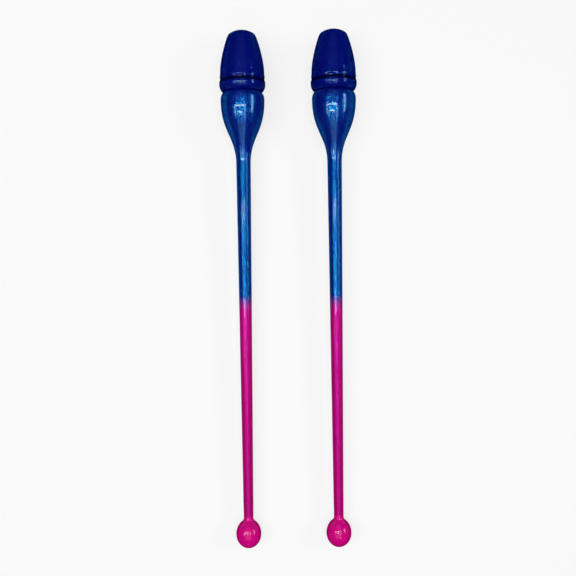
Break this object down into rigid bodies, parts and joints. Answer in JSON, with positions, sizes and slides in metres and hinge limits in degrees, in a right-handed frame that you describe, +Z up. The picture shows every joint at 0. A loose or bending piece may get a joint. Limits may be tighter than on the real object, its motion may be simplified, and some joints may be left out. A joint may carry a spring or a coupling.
{
  "type": "rhythmic gymnastics clubs",
  "caption": "Pair of slim gymnastics clubs with bulb-shaped blue heads, tapered shafts fading to pink and small ball ends, for swinging and tossing by hand.",
  "frame": {"origin": "centre of the pair's footprint on the floor", "axes": "+X from the left club to the right one, +Y along the clubs towards their heads, +Z up from the floor"},
  "size_m": [0.1188, 0.4494, 0.0398],
  "materials": {
    "blue_paint": "glossy candy blue paint on moulded plastic",
    "shaft_paint": "glossy paint on a moulded sleeve, blue at the head, sprayed over to pink at the middle",
    "ball_rubber": "satin pink rubber",
    "steel_fasteners": "zinc-plated steel",
    "weight_steel": "turned steel",
    "brass_parts": "turned brass",
    "core_tube": "drawn aluminium tube"
  },
  "bodies": {
    "left_club": {"left_head_cup": "blue_paint", "left_head_collar": "blue_paint", "left_bulb": "blue_paint", "left_head_screw": "steel_fasteners", "left_head_washer": "steel_fasteners", "left_balance_weight": "weight_steel", "left_core_ferrule": "brass_parts", "left_shaft_core": "core_tube", "left_shaft_sleeve": "shaft_paint", "left_ball_end": "ball_rubber", "left_ball_stud": "brass_parts"},
    "right_club": {"right_head_cup": "blue_paint", "right_head_collar": "blue_paint", "right_bulb": "blue_paint", "right_head_screw": "steel_fasteners", "right_head_washer": "steel_fasteners", "right_balance_weight": "weight_steel", "right_core_ferrule": "brass_parts", "right_shaft_core": "core_tube", "right_shaft_sleeve": "shaft_paint", "right_ball_end": "ball_rubber", "right_ball_stud": "brass_parts"}
  },
  "joints": [
    {"name": "right_club_lift", "type": "slide", "parent": "left_club", "child": "right_club", "axis": [0, 0, 1], "range_m": [0, 0.15]}
  ]
}
